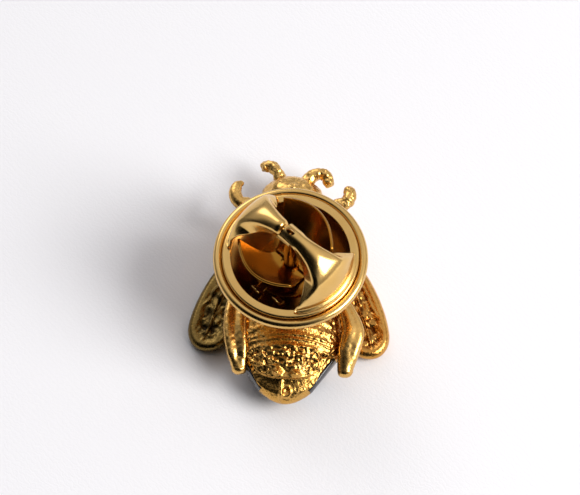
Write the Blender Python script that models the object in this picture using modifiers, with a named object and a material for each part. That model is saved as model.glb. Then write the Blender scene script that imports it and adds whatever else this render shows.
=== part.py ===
"""Bee tie tack with a sprung butterfly clutch.

The bee lies on its back, so its belly, the pin and the clutch point up.
+Z runs up the pin, +Y towards the bee's head, and the bee's lowest points are at Z = 0.
Lengths below are in millimetres and MM turns them into Blender's metres.
"""

import math

import bmesh
import bpy
import numpy as np
from mathutils import Vector

MM = 0.001

# Driving dimensions
PIN_Y = -1.01  # the pin's axis, from the middle of the whole object's length
BELLY_Z = 4.2  # flat seat on the belly for the pad
SEAM = 0.02  # solder line between pieces that are fixed together
RUN = 0.05  # room round a piece that moves

PAD_R = 2.3
PAD_H = 0.3
PIN_R = 0.5
PIN_TAPER = 2.2
PIN_GROOVE_R = 0.42
PAD_BORE_ROOM = 0.03

CLUTCH_GAP = 2.05  # cloth room between the pad and the clutch
CLUTCH_TURN = math.radians(-40)  # the bridge runs from the left of the head to the right of the tail
CUP_DEPTH = 1.7
SHEET = 0.28
RIM_R = 5.76
BEAD_WIDE = 0.3  # half the rolled rim's width
BEAD_TALL = 0.36  # half its height
CAP_EDGE_R = 4.35
CAP_EDGE_W = 0.5
BRIDGE_W = 4.4
BRIDGE_HALF_WAIST = 0.5

PAD_TOP = BELLY_Z + SEAM + PAD_H
RIM_Z = PAD_TOP + CLUTCH_GAP + CUP_DEPTH
PIN_TIP = RIM_Z + BRIDGE_W - 0.25

GOLD = ((0.83, 0.58, 0.22), 0.22, 1.0)
GOLD_SATIN = ((0.78, 0.53, 0.20), 0.35, 1.0)
BLACK_ENAMEL = ((0.01, 0.01, 0.012), 0.12, 0.0)


# Scene set-up


def clear_scene():
    for old in list(bpy.data.objects):
        bpy.data.objects.remove(old, do_unlink=True)


def new_collection(name):
    group = bpy.data.collections.new(name)
    bpy.context.scene.collection.children.link(group)
    return group


def empty(name, location, parent=None, turn=0.0):
    axis = bpy.data.objects.new(name, None)
    axis.empty_display_size = 2 * MM
    axis.location = Vector(location) * MM
    axis.rotation_euler.z = turn
    axis.parent = parent
    PARTS.objects.link(axis)
    return axis


def material(name, look):
    colour, roughness, metallic = look
    mat = bpy.data.materials.new(name)
    mat.use_nodes = True
    shader = mat.node_tree.nodes["Principled BSDF"]
    shader.inputs["Base Color"].default_value = (*colour, 1.0)
    shader.inputs["Roughness"].default_value = roughness
    shader.inputs["Metallic"].default_value = metallic
    return mat


def add_object(name, mesh, parent, look=None, location=(0, 0, 0)):
    """A sub-part when it has a look, or else a guide or cutter that isn't part of the object."""
    obj = bpy.data.objects.new(name, mesh)
    obj.parent = parent
    obj.location = Vector(location) * MM
    if look is None:
        CUTTERS.objects.link(obj)
        obj.hide_render = True
        obj.display_type = "WIRE"
    else:
        PARTS.objects.link(obj)
        mesh.materials.append(material(name + "_finish", look))
    return obj


# Shape helpers


def mesh_from(name, points, faces):
    """A mesh from points in millimetres."""
    mesh = bpy.data.meshes.new(name)
    mesh.from_pydata([tuple(float(c) * MM for c in p) for p in points], [], faces)
    mesh.update()
    return mesh


def box_mesh(name, low, high):
    bm = bmesh.new()
    bmesh.ops.create_cube(bm, size=1.0)
    low, high = Vector(low), Vector(high)
    for v in bm.verts:
        v.co = Vector(((v.co[i] + 0.5) * (high[i] - low[i]) + low[i]) * MM for i in range(3))
    mesh = bpy.data.meshes.new(name)
    bm.to_mesh(mesh)
    bm.free()
    return mesh


def cylinder_mesh(name, radius, low, high, sides=32, stretch=(1.0, 1.0)):
    bm = bmesh.new()
    bmesh.ops.create_cone(
        bm, cap_ends=True, segments=sides, radius1=radius * MM, radius2=radius * MM, depth=(high - low) * MM
    )
    for v in bm.verts:
        v.co = Vector((v.co.x * stretch[0], v.co.y * stretch[1], v.co.z + (high + low) / 2 * MM))
    mesh = bpy.data.meshes.new(name)
    bm.to_mesh(mesh)
    bm.free()
    return mesh


def ellipsoid_mesh(name, centre, radii, sides=32, rings=16, shape=None):
    """A UV sphere with its poles along Y, stretched to its radii. shape may move each point."""
    bm = bmesh.new()
    bmesh.ops.create_uvsphere(bm, u_segments=sides, v_segments=rings, radius=1.0)
    for v in bm.verts:
        unit = Vector((v.co.x, v.co.z, -v.co.y))
        point = Vector(centre[i] + unit[i] * radii[i] for i in range(3))
        v.co = (shape(point) if shape else point) * MM
    mesh = bpy.data.meshes.new(name)
    bm.to_mesh(mesh)
    bm.free()
    return mesh


def turned_object(name, profile, parent, look=None, steps=48):
    """A closed outline in the XZ plane, given down its outer side, turned about Z."""
    mesh = mesh_from(name, [(r, 0.0, z) for r, z in profile], [])
    mesh.edges.add(len(profile))
    last = len(profile) - 1
    for i, edge in enumerate(mesh.edges):
        edge.vertices = (i, i + 1 if i < last else 0)
    obj = add_object(name, mesh, parent, look)
    screw = obj.modifiers.new("turn", "SCREW")
    screw.axis = "Z"
    screw.angle = math.tau
    screw.steps = screw.render_steps = steps
    screw.use_merge_vertices = True
    screw.merge_threshold = 0.1 * SEAM * MM
    return obj


def solid_turned_object(name, profile, parent, look=None, steps=32):
    """An open outline whose two ends lie on Z, turned about Z into a solid."""
    mesh = mesh_from(name, [(r, 0.0, z) for r, z in profile], [])
    mesh.edges.add(len(profile) - 1)
    for i, edge in enumerate(mesh.edges):
        edge.vertices = (i, i + 1)
    obj = add_object(name, mesh, parent, look)
    screw = obj.modifiers.new("turn", "SCREW")
    screw.axis = "Z"
    screw.angle = math.tau
    screw.steps = screw.render_steps = steps
    screw.use_merge_vertices = True
    screw.merge_threshold = 0.1 * SEAM * MM
    return obj


def tube_mesh(name, points, radii, smooth_steps=4, bevel_resolution=2):
    """A round tube with filled ends through points, thick or thin as radii says, as a welded mesh."""
    curve = bpy.data.curves.new(name, "CURVE")
    curve.dimensions = "3D"
    curve.bevel_depth = MM
    curve.bevel_resolution = bevel_resolution
    curve.use_fill_caps = True
    curve.resolution_u = smooth_steps
    spline = curve.splines.new("BEZIER")
    spline.bezier_points.add(len(points) - 1)
    for knot, point, radius in zip(spline.bezier_points, points, radii):
        knot.co = Vector(point) * MM
        knot.handle_left_type = knot.handle_right_type = "AUTO"
        knot.radius = radius
    guide = bpy.data.objects.new(name + "_curve", curve)
    CUTTERS.objects.link(guide)
    bpy.context.view_layer.update()
    mesh = bpy.data.meshes.new_from_object(guide.evaluated_get(bpy.context.evaluated_depsgraph_get()))
    bpy.data.objects.remove(guide, do_unlink=True)
    bm = bmesh.new()
    bm.from_mesh(mesh)
    bmesh.ops.remove_doubles(bm, verts=bm.verts, dist=0.1 * SEAM * MM)
    bmesh.ops.recalc_face_normals(bm, faces=bm.faces)
    bm.to_mesh(mesh)
    bm.free()
    mesh.materials.clear()
    return mesh


def boolean(obj, other, operation):
    step = obj.modifiers.new(operation.lower() + "_" + other.name, "BOOLEAN")
    step.operation = operation
    step.solver = "EXACT"
    step.object = other


def curve_through(knots, count):
    """Points evenly spread in parameter along a Catmull-Rom curve through knots, as an array."""
    knots = np.array(knots, float)
    ends = np.vstack([2 * knots[0] - knots[1], knots, 2 * knots[-1] - knots[-2]])
    t = np.linspace(0, len(knots) - 1 - 1e-9, count)
    i = t.astype(int)
    f = (t - i)[:, None]
    a, b, c, d = ends[i], ends[i + 1], ends[i + 2], ends[i + 3]
    return 0.5 * (2 * b + (c - a) * f + (2 * a - 5 * b + 4 * c - d) * f**2 + (3 * b - a - 3 * c + d) * f**3)


# The bee

ABDOMEN_CENTRE = (0.0, -3.7, 2.25)
ABDOMEN_RADII = (4.15, 5.3, 2.2)
THORAX_CENTRE = (0.0, 2.0, 2.2)
THORAX_RADII = (3.9, 4.1, 2.2)
HEAD_CENTRE = (-0.3, 8.1, 1.85)
HEAD_RADII = (2.2, 1.8, 1.85)
BAND_DEPTH = 0.35
BANDS = ((-1.73, 0.9), (-3.87, 1.1), (-6.47, 1.76))  # middle along Y and width of each enamel band
BAND_TOP = 2.9  # the bands stop short of the belly


def abdomen_shape(point):
    """Draws the abdomen in towards its tip and lowers the tip a little."""
    y0, z0 = ABDOMEN_CENTRE[1:]
    back = max(0.0, (y0 - point.y) / ABDOMEN_RADII[1])
    draw = 1.0 - 0.22 * back**2
    droop = 0.5 * back**3
    return Vector((point.x * draw, point.y, z0 + (point.z - z0) * draw - droop))


def abdomen_mesh(name, inset=0.0):
    radii = [r - inset for r in ABDOMEN_RADII]
    return ellipsoid_mesh(name, ABDOMEN_CENTRE, radii, 28, 18, abdomen_shape)


def band_slab(name, middle, width, bottom):
    low = (-6.0, middle - width / 2, bottom)
    high = (6.0, middle + width / 2, BAND_TOP)
    return add_object(name, box_mesh(name, low, high), PIN_AXIS)


LIMBS = (
    # name, points along the limb, radius at each point
    ("front_leg_left", ((-1.6, 4.6, 2.8), (-3.3, 6.6, 3.4), (-4.25, 6.75, 3.55), (-4.65, 7.45, 3.6),
                        (-4.5, 8.15, 3.6), (-4.05, 8.5, 3.55)), (0.6, 0.42, 0.42, 0.42, 0.36, 0.18)),
    ("front_leg_right", ((1.6, 4.8, 2.8), (2.95, 6.85, 3.4), (3.8, 7.05, 3.55), (4.15, 7.75, 3.6),
                         (3.95, 8.5, 3.6)), (0.6, 0.42, 0.45, 0.44, 0.36)),
    ("hind_leg_left", ((-2.6, 0.6, 3.2), (-3.8, -1.2, 3.45), (-4.0, -3.4, 3.4), (-3.8, -5.2, 3.1),
                       (-3.55, -6.6, 2.7)), (0.7, 0.75, 0.9, 0.8, 0.6)),
    ("hind_leg_right", ((2.6, 0.8, 3.2), (4.0, -1.4, 3.45), (4.85, -3.5, 3.4), (4.65, -5.0, 3.1),
                        (4.5, -6.3, 2.7)), (0.7, 0.6, 0.8, 0.8, 0.62)),
    ("antenna_left", ((-1.2, 9.0, 2.2), (-1.45, 9.9, 2.4), (-2.05, 10.6, 2.4), (-2.85, 10.45, 2.2)),
     (0.5, 0.42, 0.4, 0.36)),
    ("antenna_right", ((0.5, 9.0, 2.2), (1.25, 9.95, 2.4), (2.15, 10.0, 2.4), (2.6, 9.1, 2.2)),
     (0.5, 0.44, 0.4, 0.36)),
)


def make_bee():
    bee = add_object("bee_casting", ellipsoid_mesh("bee_casting", THORAX_CENTRE, THORAX_RADII, 28, 16),
                     PIN_AXIS, GOLD_SATIN)
    boolean(bee, add_object("abdomen", abdomen_mesh("abdomen"), PIN_AXIS), "UNION")
    head = ellipsoid_mesh("head", HEAD_CENTRE, HEAD_RADII, 20, 12)
    boolean(bee, add_object("head", head, PIN_AXIS), "UNION")
    neck = tube_mesh("neck", ((0.0, 4.6, 2.2), (-0.1, 6.0, 2.1), (-0.3, 7.6, 1.9)), (1.7, 1.4, 1.4))
    boolean(bee, add_object("neck", neck, PIN_AXIS), "UNION")
    for name, points, radii in LIMBS:
        boolean(bee, add_object(name, tube_mesh(name, points, radii), PIN_AXIS), "UNION")
    seat = box_mesh("belly_seat", (-3.0, -2.7, BELLY_Z), (3.0, 2.7, BELLY_Z + 2))
    boolean(bee, add_object("belly_seat", seat, PIN_AXIS), "DIFFERENCE")
    for number, (middle, width) in enumerate(BANDS, 1):
        make_band(bee, number, middle, width)


def make_band(bee, number, middle, width):
    """Cuts a channel round the abdomen's back and lays an enamel band in it."""
    channel = band_slab(f"channel_{number}", middle, width, -1.0)
    core = add_object(f"channel_core_{number}", abdomen_mesh("channel_core", BAND_DEPTH), PIN_AXIS)
    boolean(channel, core, "DIFFERENCE")
    boolean(bee, channel, "DIFFERENCE")
    band = add_object(f"enamel_band_{number}", abdomen_mesh("enamel_band", SEAM), PIN_AXIS, BLACK_ENAMEL)
    slab = band_slab(f"band_slab_{number}", middle, width - 2 * SEAM, -1.0)
    slab.location.z = -SEAM * MM
    core = add_object(f"band_core_{number}", abdomen_mesh("band_core", BAND_DEPTH - SEAM), PIN_AXIS)
    boolean(band, slab, "INTERSECT")
    boolean(band, core, "DIFFERENCE")


# Outline of the right wing, from its root round the leading edge to the tip and back
WING_OUTLINE = (
    (3.6, 3.6), (4.9, 3.4), (5.9, 2.2), (6.85, 0.4), (7.5, -1.5), (7.67, -3.0),
    (7.15, -4.1), (6.15, -4.5), (5.0, -4.1), (3.9, -2.6), (3.2, -0.6), (2.9, 1.8),
)
WING_THICK = 0.9
WING_TILT = math.radians(5)  # the wings rise towards the body


def make_wing(name, side):
    """A flat outline with thickness and soft edges, tipped up to the body and cut clear of it."""
    curve = bpy.data.curves.new(name, "CURVE")
    curve.dimensions = "2D"
    curve.fill_mode = "BOTH"
    curve.extrude = WING_THICK / 2 * MM
    curve.resolution_u = 3
    spline = curve.splines.new("BEZIER")
    spline.bezier_points.add(len(WING_OUTLINE) - 1)
    spline.use_cyclic_u = True
    for knot, (x, y) in zip(spline.bezier_points, WING_OUTLINE):
        knot.co = Vector((side * x, y, 0.0)) * MM
        knot.handle_left_type = knot.handle_right_type = "AUTO"
    guide = bpy.data.objects.new(name + "_curve", curve)
    CUTTERS.objects.link(guide)
    bpy.context.view_layer.update()
    mesh = bpy.data.meshes.new_from_object(guide.evaluated_get(bpy.context.evaluated_depsgraph_get()))
    bpy.data.objects.remove(guide, do_unlink=True)
    mesh.materials.clear()
    bm = bmesh.new()
    bm.from_mesh(mesh)
    bmesh.ops.remove_doubles(bm, verts=bm.verts, dist=0.1 * SEAM * MM)
    edge = max(abs(v.co.x) for v in bm.verts)
    for v in bm.verts:
        v.co.z += WING_THICK / 2 * MM + (edge - abs(v.co.x)) * math.tan(WING_TILT)
    bmesh.ops.recalc_face_normals(bm, faces=bm.faces)
    bm.to_mesh(mesh)
    bm.free()
    wing = add_object(name, mesh, PIN_AXIS, GOLD_SATIN)
    for part, centre, radii, shape in (
        ("thorax", THORAX_CENTRE, THORAX_RADII, None),
        ("abdomen", ABDOMEN_CENTRE, ABDOMEN_RADII, abdomen_shape),
    ):
        grown = [r + RUN for r in radii]
        room = ellipsoid_mesh("room_for_" + part, centre, grown, 28, 18, shape)
        boolean(wing, add_object(f"{name}_{part}_room", room, PIN_AXIS), "DIFFERENCE")


# The pin and its pad


def make_pad_and_pin():
    """The pin's shank goes down through the pad to the belly, so the pad's top stays flat round it."""
    base = BELLY_Z + SEAM
    edge = 0.12
    bore = PIN_R + PAD_BORE_ROOM
    pad = ((bore, PAD_TOP), (PAD_R - edge, PAD_TOP), (PAD_R, PAD_TOP - edge), (PAD_R, base), (bore, base))
    turned_object("post_pad", pad, PIN_AXIS, GOLD)
    groove = RIM_Z - 0.7
    pin = (
        (0.0, PIN_TIP),
        (0.06, PIN_TIP - 0.05),
        (PIN_R, PIN_TIP - PIN_TAPER),
        (PIN_R, groove + 0.3),
        (PIN_GROOVE_R, groove + 0.15),
        (PIN_GROOVE_R, groove - 0.15),
        (PIN_R, groove - 0.3),
        (PIN_R, base),
        (0.0, base),
    )
    solid_turned_object("post_pin", pin, PIN_AXIS, GOLD, 24)


# The clutch, drawn round its own axis: X along the bridge, Z up from the middle of the rim


def bead_arc(start, end, count):
    """Points on the rolled rim's oval section, from one angle in degrees to another."""
    middle = RIM_R - BEAD_WIDE
    return [
        (middle + BEAD_WIDE * math.cos(math.radians(a)), BEAD_TALL * math.sin(math.radians(a)))
        for a in np.linspace(start, end, count)
    ]


def make_base_cup():
    floor = -CUP_DEPTH
    bore = PIN_R + 0.15
    profile = [
        *bead_arc(90, -50, 7),
        (5.58, -0.52), (5.28, -0.93), (4.83, -1.26), (4.25, -1.5), (3.6, floor + 0.04), (2.8, floor),
        (bore + 0.15, floor), (bore, floor + 0.1), (bore, floor + SHEET),
        (2.75, floor + SHEET), (3.5, floor + SHEET + 0.04), (4.15, -1.22), (4.72, -0.96), (5.15, -0.7),
        (5.32, -0.5),
        *bead_arc(236, 110, 7),
    ]
    turned_object("clutch_base_cup", profile, CLUTCH_AXIS, GOLD, 40)


def make_cap_ring():
    inner = CAP_EDGE_R + RUN
    profile = [
        (inner, CAP_EDGE_W), (4.72, 0.48), (4.95, 0.37), (5.07, 0.18), (5.11, 0.0), (5.12, -0.28),
        (5.2, -0.39), (5.22, -0.46), (5.0, -0.56), (4.86, -0.42), (4.83, -0.02), (4.74, 0.14),
        (4.6, CAP_EDGE_W - SHEET), (inner, CAP_EDGE_W - SHEET),
    ]
    turned_object("clutch_cap_ring", profile, CLUTCH_AXIS, GOLD, 40)


# Middle line of one ear above its foot: distance out, height, half width, roundness across
# and depth of the lip along each edge
EAR_LINE = (
    (3.9, 2.85, 1.35, 0.8, 0.5),
    (3.3, 3.45, 0.98, 0.6, 0.55),
    (2.5, 3.9, 0.68, 0.45, 0.5),
    (1.4, 4.25, 0.52, 0.35, 0.3),
)
# The left ear's foot is the narrower one, because the windows were not cut in the middle
WIDE_FOOT = ((4.35, 0.5, 3.08, 1.0, 0.0), (4.37, 1.2, 2.6, 1.0, 0.15), (4.25, 2.0, 1.95, 0.95, 0.35))
NARROW_FOOT = ((4.35, 0.5, 2.6, 1.0, 0.0), (4.37, 1.2, 2.25, 1.0, 0.15), (4.25, 2.0, 1.8, 0.95, 0.35))
# The two ears lap at the waist: one runs on over the top and the other dips under it
OVER_LINE = (
    (0.0, BRIDGE_W, BRIDGE_HALF_WAIST, 0.3, 0.05),
    (-0.45, BRIDGE_W - 0.01, BRIDGE_HALF_WAIST, 0.3, 0.05),
)
UNDER_LINE = (
    (1.0, 4.31, 0.5, 0.3, 0.05),
    (0.82, 4.16, 0.47, 0.3, 0.0),
    (0.66, 3.97, 0.44, 0.3, 0.0),
    (-0.4, 3.97, 0.42, 0.3, 0.0),
)
LIP_START = 0.8  # share of the half width where the edge turns into the lip
WAIST_DROP = 0.3  # the bridge's crown above its edges
OVER_SLOT = (0.3, 0.23)
UNDER_SLOT = (0.34, 0.27)
EAR_HINGE = (4.2, 0.45)


def ear_points(line, rows, columns):
    """The ear's outer face: bowed outwards at the foot, crowned at the waist, turned in at its edges."""
    knots = curve_through(line, rows)
    across = np.linspace(-1, 1, columns)
    out, height, half, bow, lip = (knots[:, i : i + 1] for i in range(5))
    width = np.minimum(np.abs(across) / LIP_START, 1.0) ** 0.9
    side = half * np.sign(across) * width
    ring = CAP_EDGE_R - np.sqrt(CAP_EDGE_R**2 - side**2)
    share = np.clip((bow - OVER_LINE[0][3]) / (1 - OVER_LINE[0][3]), 0, 1)
    turn_in = np.maximum(np.abs(across) - LIP_START, 0.0) / (1 - LIP_START) * lip
    slope = np.gradient(knots[:, :2], axis=0)
    slope /= np.linalg.norm(slope, axis=1)[:, None]
    x = out - ring * share - slope[:, 1:2] * turn_in
    z = height - WAIST_DROP * (1 - share) * width**2 + slope[:, 0:1] * turn_in
    return np.stack([x, side + 0.02 * np.sign(across) * turn_in, z], axis=2)


def grid_mesh(name, points):
    rows, columns = points.shape[:2]
    faces = [
        (r * columns + c, r * columns + c + 1, (r + 1) * columns + c + 1, (r + 1) * columns + c)
        for r in range(rows - 1)
        for c in range(columns - 1)
    ]
    return mesh_from(name, points.reshape(-1, 3), faces)


def make_ear(name, side, line, slot_half):
    """Half of the bridge, on its hinge line at the foot, with the slot that the pin's tip stands in."""
    points = ear_points(line, 20, 13)
    points[..., :2] *= side
    hinge = np.array([side * EAR_HINGE[0], 0.0, EAR_HINGE[1]])
    ear = add_object(name, grid_mesh(name, points - hinge), CLUTCH_AXIS, GOLD, hinge)
    wall = ear.modifiers.new("sheet", "SOLIDIFY")
    wall.thickness = SHEET * MM
    wall.offset = -1.0
    slot = cylinder_mesh(name + "_slot", 1.0, 3.0, 5.0, 24, slot_half)
    boolean(ear, add_object(name + "_slot", slot, CLUTCH_AXIS), "DIFFERENCE")


# One spring cheek, in the clutch's axes
CHEEK_HALF = (2.7, 1.5)  # half length of the upper and lower edges
CHEEK_Z = (1.5, -0.85)  # their heights
CHEEK_FOOT_Y = 0.08  # the lower edge's distance from the bridge's line
CHEEK_CURL = 1.28  # how far the upper corners come back towards the bridge
CHEEK_SHEET = 0.22


def make_cheek(name, side, top_y, lean, slant):
    """A sprung cheek from the window down to the jaw that grips the pin.

    top_y is how far out the upper edge lies, lean moves that edge along the bridge and slant turns it.
    """
    down = np.linspace(0, 1, 7)[:, None]
    along = side * np.linspace(-1, 1, 13)[None, :]
    ease = np.sin(down * math.pi / 2)
    up = 1 - down
    x = lean * up + (CHEEK_HALF[0] + (CHEEK_HALF[1] - CHEEK_HALF[0]) * ease) * along
    y = top_y + (CHEEK_FOOT_Y - top_y) * down - up * (CHEEK_CURL * along**2 + slant * along)
    z = CHEEK_Z[0] + (CHEEK_Z[1] - CHEEK_Z[0]) * ease + 0 * along
    points = np.stack([x, side * y, z], axis=2)
    jaw = add_object(name, grid_mesh(name, points), CLUTCH_AXIS, GOLD_SATIN)
    wall = jaw.modifiers.new("sheet", "SOLIDIFY")
    wall.thickness = CHEEK_SHEET * MM
    wall.offset = -1.0
    room = cylinder_mesh(name + "_pin_room", PIN_R + 0.03, -3.0, 3.0, 24)
    boolean(jaw, add_object(name + "_pin_room", room, CLUTCH_AXIS), "DIFFERENCE")


def make_spring_base():
    """The spring's foot: a flat oval that lies in the cup, with the pin's hole."""
    low = -CUP_DEPTH + SHEET + 0.03
    high = low + 0.22
    plate = cylinder_mesh("spring_base", 1.0, low, high, 36, (2.5, 2.75))
    base = add_object("spring_base", plate, CLUTCH_AXIS, GOLD_SATIN)
    bore = cylinder_mesh("spring_bore", PIN_R + 0.15, low - 1, high + 1, 24)
    boolean(base, add_object("spring_bore", bore, CLUTCH_AXIS), "DIFFERENCE")


clear_scene()
PARTS = new_collection("bee_tie_tack")
CUTTERS = new_collection("cutters")
PIN_AXIS = empty("pin_axis", (0, PIN_Y, 0))
CLUTCH_AXIS = empty("clutch_axis", (0, 0, RIM_Z), PIN_AXIS, CLUTCH_TURN)

make_bee()
make_wing("wing_left", -1)
make_wing("wing_right", 1)
make_pad_and_pin()
make_base_cup()
make_cap_ring()
make_ear("clutch_ear_left", -1, NARROW_FOOT + EAR_LINE + UNDER_LINE, UNDER_SLOT)
make_ear("clutch_ear_right", 1, WIDE_FOOT + EAR_LINE + OVER_LINE, OVER_SLOT)
make_cheek("spring_jaw_head_side", 1, 3.7, -0.5, 0.4)
make_cheek("spring_jaw_tail_side", -1, 3.25, -0.6, 0.0)
make_spring_base()
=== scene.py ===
# %% [markdown]
# # A bee tie tack, lying on its back
#
# The object is a gold-plated bee with a pin on its belly and a butterfly clutch pushed onto the pin.
# The imported model already holds every part at its true size and place, so this lesson dresses it:
# each part gets a finer surface and a finish like the real one. We start by loading that model and
# keeping its box, so that at the end the two boxes can be printed side by side.

import math

import bmesh
import bpy
import numpy as np
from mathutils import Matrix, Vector


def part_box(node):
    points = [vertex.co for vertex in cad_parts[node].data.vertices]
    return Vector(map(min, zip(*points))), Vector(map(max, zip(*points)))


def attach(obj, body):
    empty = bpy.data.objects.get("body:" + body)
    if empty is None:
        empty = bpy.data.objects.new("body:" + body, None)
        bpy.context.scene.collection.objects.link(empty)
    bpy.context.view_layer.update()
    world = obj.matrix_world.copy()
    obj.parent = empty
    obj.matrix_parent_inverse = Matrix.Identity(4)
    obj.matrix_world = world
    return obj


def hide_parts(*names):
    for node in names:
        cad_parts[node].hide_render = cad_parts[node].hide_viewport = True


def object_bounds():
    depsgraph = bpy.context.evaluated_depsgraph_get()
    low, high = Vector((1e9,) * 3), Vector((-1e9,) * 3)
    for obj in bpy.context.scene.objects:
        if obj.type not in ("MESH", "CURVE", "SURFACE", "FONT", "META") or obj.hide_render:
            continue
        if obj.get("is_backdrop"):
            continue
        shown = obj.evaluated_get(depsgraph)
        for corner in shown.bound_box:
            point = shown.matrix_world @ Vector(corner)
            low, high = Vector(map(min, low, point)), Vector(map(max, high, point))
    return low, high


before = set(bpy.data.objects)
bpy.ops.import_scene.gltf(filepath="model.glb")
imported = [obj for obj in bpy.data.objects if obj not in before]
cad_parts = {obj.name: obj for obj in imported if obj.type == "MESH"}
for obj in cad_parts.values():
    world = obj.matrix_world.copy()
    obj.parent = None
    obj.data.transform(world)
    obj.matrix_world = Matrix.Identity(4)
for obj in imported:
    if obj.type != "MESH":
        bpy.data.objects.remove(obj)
cad_box = [list(corner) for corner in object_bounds()]
print("nodes:", len(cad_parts))

# %% [markdown]
# ## Where things are
#
# Shapes below are worked out in millimetres round the pin's axis, and one function moves them to
# their place. The clutch has axes of its own: X runs along its bridge, Y across it and Z up from the
# middle of its rim. Its bridge is turned 40 degrees from the bee, because a clutch is pushed on at
# any angle.

# %% Axes and units
MM = 0.001
cup_low, cup_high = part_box("clutch_base_cup")
BEAD_WIDE, BEAD_TALL = 0.34, 0.36
PIN_X = (cup_low.x + cup_high.x) / 2 / MM
PIN_Y = (cup_low.y + cup_high.y) / 2 / MM
RIM_Z = cup_high.z / MM - BEAD_TALL
PAD_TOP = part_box("post_pad")[1].z / MM
PIN_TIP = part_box("post_pin")[1].z / MM
CLUTCH_TURN = math.radians(-40)


def from_bee(points):
    """Moves points drawn round the pin's axis to the object's own axes."""
    return points + np.array([PIN_X, PIN_Y, 0.0])


def from_clutch(points):
    """Turns points drawn in the clutch's axes to its bridge's angle and lifts them to the rim."""
    c, s = math.cos(CLUTCH_TURN), math.sin(CLUTCH_TURN)
    x, y, z = points[..., 0], points[..., 1], points[..., 2]
    return from_bee(np.stack([c * x - s * y, s * x + c * y, z + RIM_Z], axis=-1))


print(f"pin at {PIN_X:.2f}, {PIN_Y:.2f}; rim at {RIM_Z:.2f}; pin's point at {PIN_TIP:.2f} mm")

# %% [markdown]
# ## From numbers to meshes
#
# Nearly every part is a grid of points: rows of closed rings, one after another. A grid needs no
# modelling by hand, since joining each point to its neighbours gives the faces. Three kinds of end
# are enough: rings that come round to the first one again, rings that close on a middle point, and
# flat rings that close like a ladder, which suits thin sheet metal.

# %% Mesh from rings


def ring_faces(rows, cols, closed):
    """Quads between neighbouring points; the columns always come round, and the rows do if closed."""
    r = np.arange(rows if closed else rows - 1)[:, None]
    c = np.arange(cols)[None, :]
    r2, c2 = (r + 1) % rows, (c + 1) % cols
    return np.stack([r * cols + c, r2 * cols + c, r2 * cols + c2, r * cols + c2], 2).reshape(-1, 4)


def mesh_of_rings(name, rings, ends="point", tarnish_and_shade=None):
    """rings is rows x columns x 3 in mm. ends is point, ladder or closed. The darkening is 0 to 1 at each
    point: tarnish in hollows, and painted shade in a few places.
    """
    rows, cols = rings.shape[:2]
    points = rings.reshape(-1, 3)
    faces = ring_faces(rows, cols, ends == "closed").tolist()
    if ends == "point":
        a = np.arange(cols)
        b = (a + 1) % cols
        last = (rows - 1) * cols
        faces += np.stack([np.full(cols, len(points)), a, b], 1).tolist()
        faces += np.stack([np.full(cols, len(points) + 1), last + b, last + a], 1).tolist()
        points = np.vstack([points, rings[0].mean(0), rings[-1].mean(0)])
    if ends == "ladder":
        i = np.arange(cols // 2 - 1)
        rung = np.stack([i, i + 1, cols - 2 - i, cols - 1 - i], 1)
        faces += rung.tolist() + (rung[:, ::-1] + (rows - 1) * cols).tolist()
    mesh = bpy.data.meshes.new(name)
    mesh.from_pydata((points * MM).tolist(), [], faces)
    bm = bmesh.new()
    bm.from_mesh(mesh)
    bmesh.ops.recalc_face_normals(bm, faces=bm.faces)
    bm.to_mesh(mesh)
    bm.free()
    mesh.shade_smooth()
    # darkening from 0 to 1: tarnish in the grain's hollows, and painted shade inside the cup and on the
    # tail's left face
    dark = mesh.attributes.new("tarnish_and_shade", "FLOAT", "POINT")
    values = np.zeros(len(points), np.float32)
    if tarnish_and_shade is not None:
        values[: rows * cols] = tarnish_and_shade.reshape(-1)
    dark.data.foreach_set("value", values)
    return mesh


def piece(name, mesh, body, finish, stands_for=()):
    """Makes the object at the origin, dresses it, sets it on its body and hides the node it stands for."""
    obj = bpy.data.objects.new(name, mesh)
    bpy.context.scene.collection.objects.link(obj)
    mesh.materials.clear()
    mesh.materials.append(finish)
    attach(obj, body)
    if stands_for:
        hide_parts(*stands_for)
    print(f"{name}: {len(mesh.polygons)} faces on {body}")
    return obj


# %% [markdown]
# ## Helpers for shapes
#
# Two small tools do most of the modelling. Smooth steps blend one level into another with no crease.
# Value noise gives the grain of a casting: it puts a random height on each corner of a lattice and
# eases between the corners, so its size in millimetres is exactly the lattice's spacing.

# %% Smooth steps, noise, normals and curves


def step_up(x, low, high):
    """0 below low, 1 above high and 3t^2 - 2t^3 between them."""
    t = np.clip((x - low) / (high - low), 0, 1)
    return t * t * (3 - 2 * t)


def bump_at(x, middle, width):
    """A bell exp(-((x - middle) / width)^2)."""
    return np.exp(-(((x - middle) / width) ** 2))


def grain(points, size, seed=0):
    """Value noise from -1 to 1: hashed lattice corners, size mm apart, eased together in three directions."""
    q = points / np.array(size)
    cell = np.floor(q).astype(np.int64)
    f = q - cell
    f = f * f * (3 - 2 * f)
    total = np.zeros(points.shape[:-1])
    for corner in np.ndindex(2, 2, 2):
        c = cell + np.array(corner)
        h = (c[..., 0] * 73856093) ^ (c[..., 1] * 19349663) ^ (c[..., 2] * 83492791) ^ (seed * 40503 + 977)
        h = (h * 1274126177) & 0x7FFFFFFF
        h = ((h ^ (h >> 13)) * 668265263) & 0x7FFFFFFF
        value = ((h ^ (h >> 15)) & 0xFFFF) / 65535.0
        total += value * np.prod(np.where(corner, f, 1 - f), axis=-1)
    return 2 * total - 1


def outward(rings):
    """Unit normals: the cross product of the step along the rows and the step round the ring."""
    along = np.gradient(rings, axis=0)
    around = np.roll(rings, -1, 1) - np.roll(rings, 1, 1)
    n = np.cross(along, around)
    n /= np.linalg.norm(n, axis=2, keepdims=True) + 1e-12
    return n * np.sign(np.sum(n * (rings - rings.mean(1, keepdims=True))))


def push(rings, height):
    """Moves each point along its outward normal by height mm."""
    return rings + outward(rings) * height[..., None]


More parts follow.
